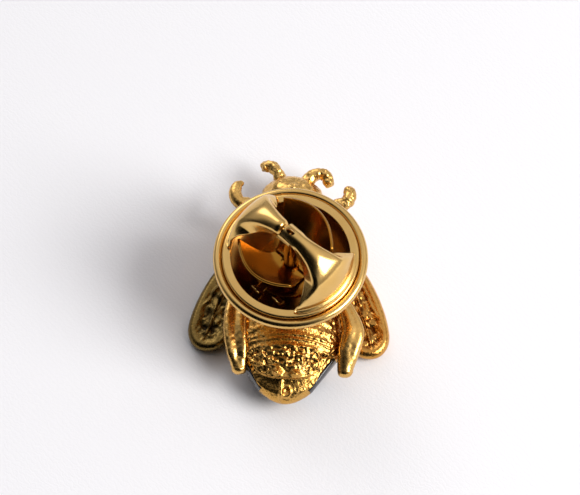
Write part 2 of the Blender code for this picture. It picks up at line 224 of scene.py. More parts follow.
def curve_through(knots, count, closed=False):
    """Points on a Catmull-Rom curve, whose slope at each knot is half the step between its neighbours."""
    knots = np.array(knots, float)
    if closed:
        ends = np.vstack([knots[-1:], knots, knots[:2]])
        t = np.linspace(0, len(knots), count, endpoint=False)
    else:
        ends = np.vstack([2 * knots[0] - knots[1], knots, 2 * knots[-1] - knots[-2]])
        t = np.linspace(0, len(knots) - 1 - 1e-9, count)
    i = t.astype(int)
    f = (t - i)[:, None]
    a, b, c, d = ends[i], ends[i + 1], ends[i + 2], ends[i + 3]
    return 0.5 * (2 * b + (c - a) * f + (2 * a - 5 * b + 4 * c - d) * f**2 + (3 * b - a - 3 * c + d) * f**3)


print("grain test:", round(float(grain(np.zeros((1, 3)) + 0.3, 0.25)[0]), 3))

# %% [markdown]
# ## Finishes
#
# The real piece has three kinds of surface: gold plate over a rough casting, gold plate over smooth
# sheet, strip and wire, and black enamel. A metal's colour is the colour of its reflections, so gold
# needs a warm base colour, full metallic and the right roughness, and each kind comes in a few tones.
# Everything else is small scale: casting grain, rubbing marks, and darker hollows where plating stays
# dull because no cloth reaches it. Some tones are painted light: painted shade inside the cup, on the
# tail's left face, on the left wing and on the spring, and a painted orange reflection on the right wing.

# %% A node helper and colours


def linear(hex_colour):
    """An sRGB hex colour as linear RGBA: (c / 12.92) below 0.04045, else ((c + 0.055) / 1.055)^2.4."""
    c = np.array([int(hex_colour[i : i + 2], 16) for i in (1, 3, 5)]) / 255
    c = np.where(c <= 0.04045, c / 12.92, ((c + 0.055) / 1.055) ** 2.4)
    return (*c.tolist(), 1.0)


def add_node(tree, kind, settings=(), values=(), links=()):
    """One shader node: its settings, the values of its inputs and (input, output socket) links."""
    node = tree.nodes.new(kind)
    for key, value in dict(settings).items():
        setattr(node, key, value)
    for key, value in dict(values).items():
        node.inputs[key].default_value = value
    for key, socket in dict(links).items():
        tree.links.new(socket, node.inputs[key])
    return node


def new_finish(name):
    """An empty material with its output, and Object coordinates, which are metres on the object."""
    mat = bpy.data.materials.new(name)
    mat.use_nodes = True
    tree = mat.node_tree
    tree.nodes.clear()
    out = add_node(tree, "ShaderNodeOutputMaterial")
    coords = add_node(tree, "ShaderNodeTexCoord")
    return mat, tree, out, coords.outputs["Object"]


def per_mm(size):
    """A noise scale whose features are about size mm, since Object coordinates are in metres."""
    return 1.0 / (size * MM)


def noise(tree, place, size, detail):
    """Soft noise with features of about size mm."""
    scale = {"Scale": per_mm(size), "Detail": detail}
    return add_node(tree, "ShaderNodeTexNoise", {}, scale, {"Vector": place})


def mixed(tree, factor, first, second):
    """The first colour where the factor is 0 and the second where it is 1; the first may be a socket."""
    values, links = {7: linear(second)}, {0: factor}
    if isinstance(first, str):
        values[6] = linear(first)
    else:
        links[6] = first
    return add_node(tree, "ShaderNodeMix", {"data_type": "RGBA"}, values, links).outputs[2]


def drifting_colour(tree, place, colour, size, detail):
    """Two close colours that drift into each other, and a third, duller one where the darkening attribute is
    1: tarnish, and painted shade in places.
    """
    drift = noise(tree, place, size, detail)
    deep = add_node(tree, "ShaderNodeAttribute", {"attribute_name": "tarnish_and_shade"})
    tint = mixed(tree, drift.outputs["Fac"], colour[0], colour[1])
    return mixed(tree, deep.outputs["Fac"], tint, colour[2])


# %% [markdown]
# ### Gold plate on pressed sheet
#
# Electroplated gold over a polished brass pressing. It is close to a mirror, so it shows the room,
# with a slow waviness from the press tool and very fine rubbing marks. The marks are really about
# 0.01 mm apart, far too fine to show, so they are drawn at 0.12 mm.

# %% Polished gold plate


def polished_gold(name, colour, roughness, wave=0.012):
    """Full metal with rubbing marks in its roughness and a slow swell, wave mm high, in its surface."""
    mat, tree, out, place = new_finish(name)
    gold_colour = drifting_colour(tree, place, colour, 1.6, 2.0)
    marks = noise(tree, place, 0.12, 3.0)
    spread = {"To Min": roughness * 0.75, "To Max": roughness * 1.35}
    rough = add_node(tree, "ShaderNodeMapRange", {}, spread, {"Value": marks.outputs["Fac"]})
    swell = noise(tree, place, 1.1, 1.0)
    bump = add_node(tree, "ShaderNodeBump", {}, {"Strength": 0.5, "Distance": wave * MM},
                    {"Height": swell.outputs["Fac"]})
    fine = add_node(tree, "ShaderNodeBump", {}, {"Strength": 0.12, "Distance": 0.004 * MM},
                    {"Height": marks.outputs["Fac"], "Normal": bump.outputs["Normal"]})
    gold = add_node(tree, "ShaderNodeBsdfPrincipled", {}, {"Metallic": 1.0},
                    {"Base Color": gold_colour, "Roughness": rough.outputs["Result"],
                     "Normal": fine.outputs["Normal"]})
    tree.links.new(gold.outputs["BSDF"], out.inputs["Surface"])
    return mat


# pressed brass sheet, polished and plated: the clutch's cup, cap ring and bridge; its third tone is painted
# shade inside the cup
GOLD_SHEET = polished_gold("gold_plated_brass_pressed_and_polished", ("#E6C07C", "#D8AB5C", "#7A480F"), 0.19)
# bronze spring strip under thin plate, wavier from being bent; darker and redder as painted shade and painted
# orange reflection inside the clutch
GOLD_SPRING_PAINTED_SHADE = polished_gold("gold_plated_bronze_spring_strip_painted_shade", ("#C28A3A", "#986820", "#3C2206"), 0.2, 0.04)
# drawn wire and a stamped pad, the smoothest parts of all
GOLD_PIN = polished_gold("gold_plated_drawn_wire_pin", ("#E3B56C", "#D8A658", "#80490F"), 0.14)
print("sheet finishes ready")

# %% [markdown]
# ### Gold plate on a casting
#
# The bee is a lost-wax casting. Its grain was in the wax, so the plating follows it and every small
# facet throws its own sparkle. The mesh carries the grain that is wider than about 0.15 mm, and a
# bump of 0.12 to 0.16 mm grit adds the finest part. The hollows are darker than the ridges.

# %% Cast gold


def cast_gold(name, colour, roughness, grit, depth):
    """Full metal with grit: noise plus small cells, grit mm apart and depth mm high, as a bump."""
    mat, tree, out, place = new_finish(name)
    gold_colour = drifting_colour(tree, place, colour, 0.9, 3.0)
    specks = noise(tree, place, grit, 2.0)
    cells = add_node(tree, "ShaderNodeTexVoronoi", {}, {"Scale": per_mm(grit * 2.2)}, {"Vector": place})
    height = add_node(tree, "ShaderNodeMath", {"operation": "ADD"}, {},
                      {0: specks.outputs["Fac"], 1: cells.outputs["Distance"]})
    bump = add_node(tree, "ShaderNodeBump", {}, {"Strength": 0.6, "Distance": depth * MM},
                    {"Height": height.outputs["Value"]})
    spread = {"To Min": roughness * 0.7, "To Max": roughness * 1.4}
    rough = add_node(tree, "ShaderNodeMapRange", {}, spread, {"Value": specks.outputs["Fac"]})
    gold = add_node(tree, "ShaderNodeBsdfPrincipled", {}, {"Metallic": 1.0},
                    {"Base Color": gold_colour, "Roughness": rough.outputs["Result"],
                     "Normal": bump.outputs["Normal"]})
    tree.links.new(gold.outputs["BSDF"], out.inputs["Surface"])
    return mat


# the body as cast, with its grain; its dull tone is tarnish in the grain's hollows and painted shade on the
# tail's left face
CAST_GRAINED = cast_gold("gold_plated_casting_grained", ("#E0B064", "#C4903E", "#462406"), 0.26, 0.12, 0.04)
# head, legs and antennae, which stand proud and are rubbed smooth
CAST_RUBBED = cast_gold("gold_plated_casting_rubbed", ("#E5BA72", "#D6A656", "#74450F"), 0.26, 0.16, 0.008)
# the left wing's plate, darker and olive as painted shade on the side away from the light
CAST_PAINTED_SHADE = cast_gold("gold_plated_casting_painted_shade", ("#8E7440", "#604C26", "#21170A"), 0.27, 0.12, 0.02)
# the right wing's plate, on the lit side: brighter and a little coppery as a painted orange reflection
CAST_PAINTED_LIGHT = cast_gold("gold_plated_casting_painted_light", ("#E0AE5E", "#C08234", "#5A2C08"), 0.22, 0.12, 0.03)
print("cast finishes ready")

# %% [markdown]
# ### Black enamel
#
# The bands are a glassy black enamel that fills channels in the casting. It is a clear glass over
# pigment, so it is dark, smooth and glossy, with a slight orange-peel waviness.

# %% Enamel
BLACK_ENAMEL, enamel_tree, enamel_out, enamel_place = new_finish("black_vitreous_enamel")
peel = noise(enamel_tree, enamel_place, 0.5, 2.0)
peel_bump = add_node(enamel_tree, "ShaderNodeBump", {}, {"Strength": 0.4, "Distance": 0.008 * MM},
                     {"Height": peel.outputs["Fac"]})
depth_tint = mixed(enamel_tree, peel.outputs["Fac"], "#0B0B0E", "#1A191D")
glass = add_node(enamel_tree, "ShaderNodeBsdfPrincipled", {},
                 {"Roughness": 0.12, "IOR": 1.52, "Coat Weight": 0.6, "Coat Roughness": 0.05},
                 {"Base Color": depth_tint, "Normal": peel_bump.outputs["Normal"]})
enamel_tree.links.new(glass.outputs["BSDF"], enamel_out.inputs["Surface"])
print("enamel ready")

# %% [markdown]
# ## The bee's abdomen
#
# The abdomen is an egg whose poles lie along the bee, drawn in and lowered towards its tip. On the
# belly lies a grained plate with a smooth raised edge, crossed by a few rings of the abdomen. Behind
# the plate comes a plain cone with a keel. All of it is height added along the egg's normals: the
# sum of a few bells and steps that read the point's own X and Y.

# %% Egg and abdomen
ABDOMEN = ((0.0, -3.7, 2.25), (4.15, 5.3, 2.2))
THORAX = ((0.0, 2.0, 2.2), (3.9, 4.1, 2.2))
HEAD = ((-0.3, 8.1, 1.85), (2.2, 1.8, 1.85))
BELLY_Z = 4.2
BANDS = ((-1.73, 0.9), (-3.87, 1.1), (-6.85, 2.52))
BAND_TOP = 2.9
BAND_DEPTH = 0.35
BAND_DROP = 0.5
PLATE_HALF = (3.35, 3.95)
PLATE_START = -3.7
# middle along Y, half width and height of each ring that crosses the belly
BELLY_RINGS = ((-3.0, 0.22, 0.08), (-3.75, 0.2, 0.11), (-4.42, 0.12, 0.1), (-4.78, 0.09, 0.07),
               (-5.3, 0.14, 0.1))
# X, half width, Y and half length of the two knobs behind the plate
KNOBS = ((-0.62, 0.27, -7.2, 0.2), (0.75, 0.34, -7.25, 0.22))
KNOB_TALL = 0.42
DIMPLE_X, DIMPLE_Y = 0.1, -8.4
KEEL_X = -0.3


def egg(centre, radii, rows, cols):
    """Rings of an egg with its poles on Y: cos(s) along Y, sin(s) wide, turned by the angle a."""
    s = np.linspace(0, np.pi, rows + 2)[1:-1, None]
    a = np.linspace(0, 2 * np.pi, cols, endpoint=False)[None, :]
    unit = np.stack([np.sin(s) * np.cos(a), np.cos(s) + 0 * a, np.sin(s) * np.sin(a)], 2)
    return np.array(centre) + unit * np.array(radii)


def draw_in(points):
    """Scales X and Z by 1 - 0.22 b^2 and lowers Z by 0.5 b^3, where b is 0 at the middle and 1 at the tip."""
    (_, y0, z0), (_, ry, _) = ABDOMEN
    back = np.clip((y0 - points[..., 1]) / ry, 0, 1)
    draw = 1 - 0.22 * back**2
    x, y, z = points[..., 0] * draw, points[..., 1], z0 + (points[..., 2] - z0) * draw - 0.5 * back**3
    return np.stack([x, y, z], -1)


def plate_field(x, y):
    """1 on the plate and falling to 0 at its edge, a rounded U: |x/a|^2.6 + |behind/b|^2.6 = 1."""
    behind = np.clip(PLATE_START - y, 0, None)
    return 1 - np.abs(x / PLATE_HALF[0]) ** 2.6 - (behind / PLATE_HALF[1]) ** 2.6


def band_top(y):
    """The enamel ends at BAND_TOP, and slopes down by up to BAND_DROP towards the bee's tip."""
    return BAND_TOP - BAND_DROP * step_up(-y, 6.6, 8.3)


def abdomen_height(p):
    """Plate, rings, knobs, keel, dimple and grain, less the enamel's channels; and the grain with painted
    shade on the cone's left face.
    """
    x, y, z = p[..., 0], p[..., 1], p[..., 2]
    belly = step_up(z, 2.5, 3.1)
    inside = plate_field(x, y)
    on_plate = step_up(inside, 0.0, 0.07) * belly
    rim = bump_at(inside, 0.05, 0.06) * belly * step_up(-y, 4.6, 5.6)
    y_bent = y + 0.03 * x**2
    rings = sum(tall * bump_at(y_bent, middle, width) for middle, width, tall in BELLY_RINGS)
    rings *= 0.45 + 0.55 * step_up(x, -0.6, 0.8) + 0.3 * grain(p, (0.9, 0.5, 0.9), 8)
    coarse = grain(p, (0.3, 0.26, 0.3), 3)
    fine = grain(p, 0.17, 5)
    rough_zone = step_up(-y_bent, 5.1, 5.6) * step_up(inside, 0.06, 0.16) * belly
    sides = step_up(np.abs(x), 1.6, 2.6)
    gravel = (0.1 + 0.35 * sides + 0.9 * rough_zone) * (0.1 * coarse + 0.085 * fine)
    gravel *= 1 - 0.9 * bump_at(y, -7.25, 0.42) * step_up(np.abs(x - 0.1), 1.5, 1.1)
    knobs = KNOB_TALL * sum(bump_at(x, kx, wide) * bump_at(y, ky, long) for kx, wide, ky, long in KNOBS)
    saddle = -0.16 * bump_at(x, 0.05, 0.36) * bump_at(y, -7.15, 0.22)
    cone = step_up(-y, 7.5, 7.8) * belly
    upper = step_up(z, 1.8, 2.4)
    keel = 0.16 * bump_at(x, KEEL_X, 0.14) * step_up(-y, 7.6, 8.0) * upper
    from_dimple = np.hypot(x - DIMPLE_X, (y - DIMPLE_Y) * 1.2)
    dimple = -0.18 * bump_at(from_dimple, 0.0, 0.2)
    dimple_lip = 0.08 * bump_at(from_dimple, 0.32, 0.09)
    lower = -0.26 * (1 - on_plate) * step_up(-y, 5.0, 6.4) * belly
    channel = sum(step_up(np.abs(y - middle), wide / 2 + 0.02, wide / 2 - 0.02) for middle, wide in BANDS)
    channel = channel * step_up(z - band_top(y), 0.03, -0.03)
    left_face = cone * step_up(-x, 0.2, 0.35)
    h = lower + 0.06 * rim + on_plate * rings * (1 - 0.6 * rough_zone)
    h += gravel * (1 - 0.9 * left_face) * (1 - 0.7 * rim)
    h += (knobs + saddle) * belly + keel + (dimple + dimple_lip) * upper
    # the second value also carries painted shade: the cone's left face is lowered by 0.05 there, which
    # darkens it
    return h * (1 - channel) - BAND_DEPTH * channel, gravel - 0.05 * left_face


abdomen = draw_in(egg(*ABDOMEN, 330, 420))
abdomen_lift, abdomen_grain_and_shade = abdomen_height(abdomen)
# tarnish in the grain's hollows, and painted shade on the tail cone's left face
abdomen_dark = np.clip(-abdomen_grain_and_shade * 11, 0, 1) * 0.8
abdomen_mesh = mesh_of_rings("abdomen", from_bee(push(abdomen, abdomen_lift)), tarnish_and_shade=abdomen_dark)
piece("abdomen", abdomen_mesh, "tack", CAST_GRAINED, ["bee_casting"])
print(f"grain height {np.abs(abdomen_grain_and_shade).max():.3f} mm")

# %% [markdown]
# ## Enamel bands
#
# Each band fills its channel flush with the abdomen's back. Its section, a flat oblong with rounded
# corners, is carried round the back on the same egg, so it follows the abdomen with no fitting.

# %% Bands


def band_rings(middle, width, count=90):
    """A rounded section in (along Y, depth), carried round the egg's back from band_top to band_top."""
    half, corner = width / 2 - 0.03, 0.07
    turn = np.radians(np.arange(0, 360, 15.0)) + 0.01
    along = middle + np.sign(np.cos(turn)) * (half - corner) + corner * np.cos(turn)
    deep = 0.13 - np.sign(np.sin(turn)) * (0.13 - corner) - corner * np.sin(turn)
    deep = deep - 0.03 * (1 - ((along - middle) / half) ** 2) * (np.sin(turn) > 0)
    (x0, y0, z0), (rx, ry, rz) = ABDOMEN
    back = np.clip((y0 - along) / ry, 0, 1)
    span = np.sqrt(1 - ((along - y0) / ry) ** 2) * (1 - 0.22 * back**2) * rz
    start = np.arcsin(np.minimum(1.0, (band_top(along) - 0.05 - z0 + 0.5 * back**3) / span))
    a = np.pi - start + np.linspace(0, 1, count)[:, None] * (np.pi + 2 * start)
    cos_s = (along - y0) / (ry - deep)
    sin_s = np.sqrt(1 - cos_s**2)
    x, z = (rx - deep) * sin_s * np.cos(a), z0 + (rz - deep) * sin_s * np.sin(a)
    return draw_in(np.stack([x, along + 0 * a, z], -1))


for number, (middle, width) in enumerate(BANDS, 1):
    node = f"enamel_band_{number}"
    band = mesh_of_rings(node, from_bee(band_rings(middle, width)))
    piece(f"black_band_{number}", band, "tack", BLACK_ENAMEL, [node])

# %% [markdown]
# ## Thorax and head
#
# The thorax is the same egg with hair strokes: noise three or four times longer along the bee than
# across it. Its top is cut flat for the pad. The head is a smaller egg with a saddle between the
# antennae, two smooth eyes at the sides and fine grain.

# %% Thorax


def thorax_rings():
    """Egg plus stroke noise, with Z held at the belly's flat seat under the pad."""
    p = egg(*THORAX, 170, 240)
    strokes = grain(p, (0.2, 0.8, 0.2), 11) * 0.06 + grain(p, (0.13, 0.4, 0.13), 12) * 0.03
    lifted = push(p, strokes)
    seat = step_up(np.hypot(p[..., 0], p[..., 1]), 2.9, 2.4)
    level = np.minimum(lifted[..., 2], BELLY_Z + (1 - seat) * 0.3)
    lifted[..., 2] = np.where(seat > 0, level, lifted[..., 2])
    return lifted, np.clip(-strokes * 9, 0, 1) * 0.8


thorax, thorax_dark = thorax_rings()
thorax_mesh = mesh_of_rings("thorax", from_bee(thorax), tarnish_and_shade=thorax_dark)
piece("thorax", thorax_mesh, "tack", CAST_GRAINED, ["bee_casting"])

# %% Head


def head_rings():
    """Egg plus a saddle, brow ridges, a small round mark and eyes bulging at both sides."""
    p = egg(*HEAD, 130, 180)
    x, y, z = p[..., 0] - HEAD[0][0], p[..., 1], p[..., 2]
    top = step_up(z, 1.8, 2.8)
    saddle = -0.22 * bump_at(x, 0.25, 0.55) * bump_at(y, 8.9, 0.6) * top
    brow = 0.1 * bump_at(np.abs(x), 1.15, 0.3) * bump_at(y, 8.7, 0.8) * top
    mark = 0.08 * bump_at(np.hypot(x - 0.05, y - 8.45), 0.22, 0.07) * top
    eyes = 0.3 * bump_at(np.abs(x), 1.9, 0.5) * bump_at(y, 8.6, 0.6) * bump_at(z, 1.6, 0.8)
    rough = (0.02 + 0.02 * step_up(np.abs(x), 0.6, 1.2)) * grain(p, 0.2, 21)
    return push(p, saddle + brow + mark + eyes + rough), np.clip(-rough * 20, 0, 1) * 0.5


head, head_dark = head_rings()
piece("head", mesh_of_rings("head", from_bee(head), tarnish_and_shade=head_dark), "tack", CAST_RUBBED, ["bee_casting"])


def neck_rings():
    """A short collar: its radius narrows from 1.8 to 1.5 mm, with stroke noise."""
    line = np.column_stack([np.linspace(0, -0.3, 40), np.linspace(4.6, 7.6, 40), np.linspace(2.25, 1.95, 40)])
    a = np.linspace(0, 2 * np.pi, 120, endpoint=False)
    radius = np.linspace(1.8, 1.5, 40)[:, None]
    ring = np.stack([radius * np.cos(a), 0 * radius * a, radius * np.sin(a)], -1)
    p = line[:, None, :] + ring
    return push(p, 0.05 * grain(p, (0.22, 0.7, 0.22), 31))


piece("neck", mesh_of_rings("neck", from_bee(neck_rings())), "tack", CAST_GRAINED, ["bee_casting"])

# %% [markdown]
# ## Legs and antennae
#
# A limb is a ring of points carried along a curved line. The ring's radius changes along the line,
# and near both ends it is eased to nothing like a quarter circle, which rounds the tip. The left hind
# leg has two long ridges with a channel between them, and the right one has flat facets, so their
# rings are not round: bells are added about 50 degrees each side of the top.

# %% Limbs


def limb_rings(points, radii, rows, cols, section=None, tip=1.0):
    """Centre line plus r (side cos f + up sin f); side is level and across the line, up is square to both."""
    line = curve_through(np.column_stack([points, radii]), rows)
    centre, radius = line[:, :3], line[:, 3]
    along = np.gradient(centre, axis=0)
    walk = np.concatenate([[0], np.cumsum(np.linalg.norm(np.diff(centre, axis=0), axis=1))])
    along /= np.linalg.norm(along, axis=1, keepdims=True)
    side = np.cross(along, [0.0, 0.0, 1.0])
    side /= np.linalg.norm(side, axis=1, keepdims=True)
    up = np.cross(side, along)
    near = np.clip(np.minimum(walk, walk[-1] - walk) / (radius * tip), 0, 1)
    radius = radius * np.maximum(np.sqrt(1 - (1 - near) ** 2), 0.03)
    f = np.linspace(0, 2 * np.pi, cols, endpoint=False)
    share = (walk / walk[-1])[:, None]
    scale = 1 + (section(f[None, :], share) if section else 0 * f[None, :])
    return centre[:, None] + (radius[:, None] * scale)[..., None] * (
        np.cos(f)[None, :, None] * side[:, None] + np.sin(f)[None, :, None] * up[:, None])


def hind_leg_section(f, share):
    """Two ridges beside the top and a channel between them, fading out before the foot."""
    keep = step_up(share, 0.08, 0.25) * step_up(share, 0.97, 0.8)
    top = f - np.pi / 2
    ridges = 0.16 * (bump_at(top, 0.85, 0.3) + bump_at(top, -0.85, 0.3))
    return (ridges - 0.3 * bump_at(top, 0.0, 0.5)) * keep


def broad_leg_section(f, share):
    """Flat facets instead of ridges: one low bell on each side and a dip towards the outer one."""
    keep = step_up(share, 0.08, 0.25) * step_up(share, 0.95, 0.75)
    top = f - np.pi / 2
    facets = 0.1 * bump_at(top, 0.95, 0.35) + 0.05 * bump_at(top, -0.8, 0.3)
    return (facets - 0.12 * bump_at(top, 0.25, 0.45)) * keep


# name, points along the middle, radius at each point, section, height of the grain, length of the rounded tip
LIMBS = (
    ("front_leg_left",
     ((-1.6, 4.6, 2.8), (-3.3, 6.6, 3.4), (-4.25, 6.75, 3.55), (-4.65, 7.45, 3.6), (-4.5, 8.15, 3.6),
      (-4.05, 8.5, 3.55)),
     (0.6, 0.45, 0.5, 0.5, 0.4, 0.16), None, 0.02, 1.0),
    ("front_leg_right",
     ((1.6, 4.8, 2.8), (2.95, 6.85, 3.4), (3.8, 7.05, 3.55), (4.15, 7.75, 3.6), (3.95, 8.5, 3.6)),
     (0.6, 0.45, 0.52, 0.52, 0.44), None, 0.05, 1.0),
    ("hind_leg_left",
     ((-2.6, 0.6, 3.2), (-3.8, -1.2, 3.45), (-4.0, -3.4, 3.4), (-3.8, -5.2, 3.1), (-3.55, -6.45, 2.75),
      (-3.45, -7.15, 2.6)),
     (0.7, 0.75, 0.9, 0.82, 0.6, 0.56), hind_leg_section, 0.02, 0.7),
    ("hind_leg_right",
     ((2.6, 0.8, 3.2), (4.0, -1.4, 3.45), (4.85, -3.5, 3.4), (4.65, -5.0, 3.1), (4.45, -6.3, 2.75),
      (4.55, -7.0, 2.6)),
     (0.7, 0.6, 0.85, 0.84, 0.62, 0.55), broad_leg_section, 0.008, 0.7),
    ("antenna_left",
     ((-1.2, 9.0, 2.2), (-1.45, 9.9, 2.4), (-2.05, 10.6, 2.4), (-2.85, 10.45, 2.2)),
     (0.55, 0.46, 0.45, 0.4), None, 0.07, 0.8),
    ("antenna_right",
     ((0.5, 9.0, 2.2), (1.25, 9.95, 2.4), (2.15, 10.0, 2.4), (2.6, 9.1, 2.2)),
     (0.6, 0.5, 0.47, 0.42), None, 0.04, 0.8),
)

for name, points, radii, section, rough, tip in LIMBS:
    rings = limb_rings(np.array(points), np.array(radii), 150, 72, section, tip)
    grit = rough * (grain(rings, 0.26, 41) + 0.5 * grain(rings, 0.15, 42))
    mesh = mesh_of_rings(name, from_bee(push(rings, grit)), tarnish_and_shade=np.clip(-grit * 14, 0, 1) * 0.7)
    piece(name, mesh, "tack", CAST_RUBBED, ["bee_casting"])

# %% [markdown]
# ## Wings
#
# Seen from behind, a wing is a shallow dish: a smooth raised rim round a grained floor with a few
# veins. The outline is a closed curve, and rings shrink from it towards a short spine in the middle,
# first over the top and then under the bottom, so one grid covers the whole wing. The height is a
# function of the distance in from the edge.

# %% Wings
WING_OUTLINE = (
    (3.6, 3.6), (4.9, 3.4), (5.9, 2.2), (6.85, 0.4), (7.5, -1.5), (7.67, -3.0),
    (7.15, -4.1), (6.15, -4.5), (5.0, -4.1), (3.9, -2.6), (3.2, -0.6), (2.9, 1.8),
)
WING_SPINE = ((4.2, 2.4), (6.2, -3.2))
WING_THICK = 0.9
WING_TILT = math.radians(5)
WING_TIP_X = 7.7
TOP_ROWS = 86


def wing_rings(side, seed, deep):
    """Top: round edge, rim bell and a veined floor deep mm down. Bottom: flat. Both rise inwards."""
    outline = curve_through(WING_OUTLINE, 260, closed=True)
    a, b = np.array(WING_SPINE)
    t = np.clip(((outline - a) @ (b - a)) / np.sum((b - a) ** 2), 0, 1)[:, None]
    spine = a + t * (b - a)
    over = [np.linspace(0.02, 0.6, 40), 1 - 0.4 * np.linspace(1, 0, TOP_ROWS - 40) ** 1.5]
    under = [1 - 0.35 * np.linspace(0, 1, 14)[1:] ** 1.5, np.linspace(0.6, 0.02, 10)]
    shrink = np.concatenate(over + under)[:, None, None]
    top = (np.arange(len(shrink)) < TOP_ROWS)[:, None]
    flat = spine + shrink * (outline - spine)
    inset = (1 - shrink[..., 0]) * np.linalg.norm(outline - spine, axis=1)
    p = np.dstack([flat, np.zeros(flat.shape[:2])])
    edge = np.sqrt(np.clip(1 - (1 - np.clip(inset / 0.4, 0, 1)) ** 2, 0, 1))
    floor = step_up(inset, 0.45, 1.1)
    across = (flat - a) @ np.array([b[1] - a[1], a[0] - b[0]]) / np.linalg.norm(b - a)
    lengthwise = (flat - a) @ (b - a) / np.linalg.norm(b - a)
    bent = across + 0.25 * grain(p, 1.1, seed + 2)
    veins = sum(bump_at(bent - k * (0.3 + 0.11 * lengthwise), 0.0, 0.15) for k in (-1.5, -0.2, 1.1))
    gravel = (0.08 * grain(p, 0.34, seed) + 0.05 * grain(p, 0.2, seed + 1)) * floor
    dish = deep * (0.2 * bump_at(inset, 0.4, 0.26) - floor) + 0.13 * veins * floor + gravel
    z = np.where(top, WING_THICK / 2 * (1 + edge) + dish * edge, WING_THICK / 2 * (1 - edge))
    x = flat[..., 0]
    z = z + (WING_TIP_X - x) * math.tan(WING_TILT)
    dark = np.where(top, floor * (0.25 + np.clip(-gravel * 12, 0, 0.75)), 0)
    return np.stack([side * x, flat[..., 1], z], -1), dark


WINGS = (("wing_left", -1, 51, 0.09, CAST_PAINTED_SHADE), ("wing_right", 1, 61, 0.18, CAST_PAINTED_LIGHT))
for name, side, seed, deep, finish in WINGS:
    wing, wing_dark = wing_rings(side, seed, deep)
    piece(name + "_cast", mesh_of_rings(name, from_bee(wing), tarnish_and_shade=wing_dark), "tack", finish, [name])

# %% [markdown]
# ## Turned parts: pad, pin, cup and cap
#
# The pad, the pin and the clutch's two round pressings are lathe shapes. A closed outline in radius
# and height is turned about the axis, which gives a closed ring with no poles. The pin is an open
# outline instead, and its first and last rings close on a middle point.

# %% Lathe


def turned(profile, steps, place):
    """Each outline point (r, z) becomes a ring (r cos a, r sin a, z)."""
    profile = np.array(profile)
    a = np.linspace(0, 2 * np.pi, steps, endpoint=False)
    rings = np.stack([profile[:, :1] * np.cos(a), profile[:, :1] * np.sin(a), profile[:, 1:] + 0 * a], -1)
    return place(rings)


def rounded(points, radius, count=5):
    """An outline whose every corner is cut by a quadratic arc that starts radius mm before the corner."""
    points = np.array(points, float)
    before, after = np.roll(points, 1, 0) - points, np.roll(points, -1, 0) - points
    reach = [np.minimum(radius, np.linalg.norm(v, axis=1, keepdims=True) * 0.45) for v in (before, after)]
    start = points + before / np.linalg.norm(before, axis=1, keepdims=True) * reach[0]
    stop = points + after / np.linalg.norm(after, axis=1, keepdims=True) * reach[1]
    t = np.linspace(0, 1, count)[None, :, None]
    arcs = (1 - t) ** 2 * start[:, None] + 2 * t * (1 - t) * points[:, None] + t**2 * stop[:, None]
    return arcs.reshape(-1, 2)


# %% Pad and pin
PIN_R = 0.5
PAD_R = 2.3
PAD_HOLE_R = PIN_R + 0.03
PAD_LOW = BELLY_Z + 0.02
pad_outline = rounded([(PAD_HOLE_R, PAD_TOP), (PAD_R, PAD_TOP), (PAD_R, PAD_LOW), (PAD_HOLE_R, PAD_LOW)], 0.1)
pad = mesh_of_rings("pad", turned(pad_outline, 160, from_bee), "closed")
piece("pad", pad, "tack", GOLD_PIN, ["post_pad"])

TIP_R = 0.075
TAPER = 2.14
groove = RIM_Z - 0.7
below_tip = PIN_TIP - 0.06
pin_outline = [(0.02, PIN_TIP), (0.055, PIN_TIP - 0.02), (TIP_R, below_tip)]
pin_outline += [(TIP_R + (PIN_R - TIP_R) * t**0.92, below_tip - TAPER * t) for t in np.linspace(0, 1, 30)[1:]]
for z in np.linspace(groove + 0.6, groove - 0.6, 25):
    pin_outline.append((PIN_R - 0.08 * float(bump_at(z, groove, 0.2)), z))
pin_outline += [(PIN_R, PAD_LOW + 0.02), (PIN_R - 0.02, PAD_LOW)]
piece("pin", mesh_of_rings("pin", turned(pin_outline, 96, from_bee)), "tack", GOLD_PIN, ["post_pin"])

# %% [markdown]
# The cup is one pressing: a flat bottom with a hole, a curved wall and a rim rolled over the edge of
# the cap. The cap's ring lies inside the roll with a fine dark gap between them, and that gap is what
# lets the two halves turn on each other.

# %% Cup and cap ring
RIM_R = 5.76
CUP_DEPTH = 1.7
SHEET = 0.28
CAP_EDGE_R = 4.35


def bead_arc(start, end, count):
    """Points round the roll's oval section, BEAD_WIDE by BEAD_TALL, that touches RIM_R."""
    a = np.radians(np.linspace(start, end, count))
    return np.stack([RIM_R - BEAD_WIDE + BEAD_WIDE * np.cos(a), BEAD_TALL * np.sin(a)], 1)


ROUND = 220
cup_wall = curve_through(
    [(5.58, -0.52), (5.28, -0.93), (4.83, -1.26), (4.25, -1.5), (3.6, -1.66), (2.8, -CUP_DEPTH)], 30)
cup_hole = [(0.82, -CUP_DEPTH), (0.7, -1.66), (0.65, -1.58), (0.65, -CUP_DEPTH + SHEET)]
cup_inside = curve_through(
    [(2.75, -CUP_DEPTH + SHEET), (3.5, -1.38), (4.15, -1.22), (4.72, -0.96), (5.15, -0.7), (5.3, -0.5)], 24)
cup_outline = np.vstack([bead_arc(90, -50, 30), cup_wall, cup_hole, cup_inside, bead_arc(236, 100, 30)])
# painted shade: the cup's whole inside, under the cap, takes the third, darkest tone
cup_painted_shade = np.zeros((len(cup_outline), ROUND))
inside_from = 30 + len(cup_wall) + len(cup_hole)
cup_painted_shade[inside_from : inside_from + len(cup_inside)] = 0.85
cup = mesh_of_rings("cup", turned(cup_outline, ROUND, from_clutch), "closed", tarnish_and_shade=cup_painted_shade)
piece("cup", cup, "clutch", GOLD_SHEET, ["clutch_base_cup"])

